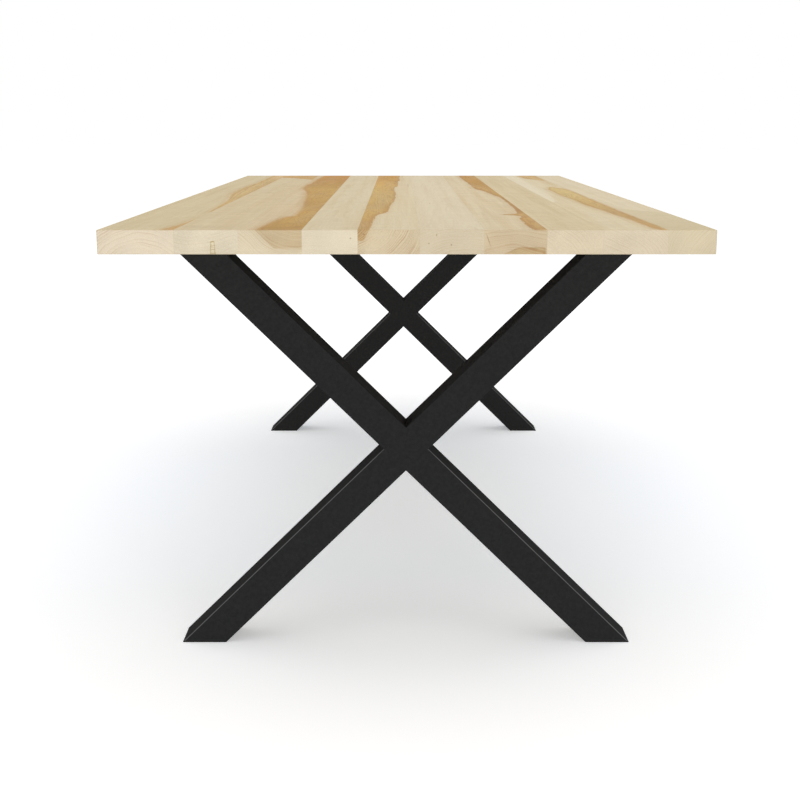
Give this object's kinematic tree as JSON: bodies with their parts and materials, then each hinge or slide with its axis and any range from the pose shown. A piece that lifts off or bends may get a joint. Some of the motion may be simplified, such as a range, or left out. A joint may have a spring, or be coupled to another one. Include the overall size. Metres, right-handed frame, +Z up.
{
  "type": "dining table",
  "caption": "Rectangular dining table: an edge-glued board top bolted to black steel X frames, one near each end.",
  "frame": {"origin": "on the floor under the middle of the top", "axes": "+Z up, +Y along the table towards the rear frame, +X across it to the right as seen from the front end"},
  "size_m": [0.965, 2.134, 0.752],
  "materials": {
    "maple": "clear satin oil on planed boards",
    "black_steel": "fine-texture matt black powder coat",
    "pad_rubber": "plain moulded",
    "zinc_steel": "bright zinc plate",
    "insert_brass": "plain turned"
  },
  "bodies": {
    "root": {"tabletop_board_01": "maple", "tabletop_board_02": "maple", "tabletop_board_03": "maple", "tabletop_board_04": "maple", "tabletop_board_05": "maple", "tabletop_board_06": "maple", "tabletop_board_07": "maple", "tabletop_board_08": "maple", "tabletop_board_09": "maple", "tabletop_board_10": "maple", "front_through_bar": "black_steel", "front_upper_half_bar": "black_steel", "front_lower_half_bar": "black_steel", "front_left_foot_cap": "black_steel", "front_right_foot_cap": "black_steel", "front_left_foot_pad": "pad_rubber", "front_right_foot_pad": "pad_rubber", "front_mounting_plate": "black_steel", "front_plate_welds": "black_steel", "front_plate_bolts": "zinc_steel", "front_threaded_inserts": "insert_brass", "rear_through_bar": "black_steel", "rear_upper_half_bar": "black_steel", "rear_lower_half_bar": "black_steel", "rear_left_foot_cap": "black_steel", "rear_right_foot_cap": "black_steel", "rear_left_foot_pad": "pad_rubber", "rear_right_foot_pad": "pad_rubber", "rear_mounting_plate": "black_steel", "rear_plate_welds": "black_steel", "rear_plate_bolts": "zinc_steel", "rear_threaded_inserts": "insert_brass"}
  },
  "joints": []
}
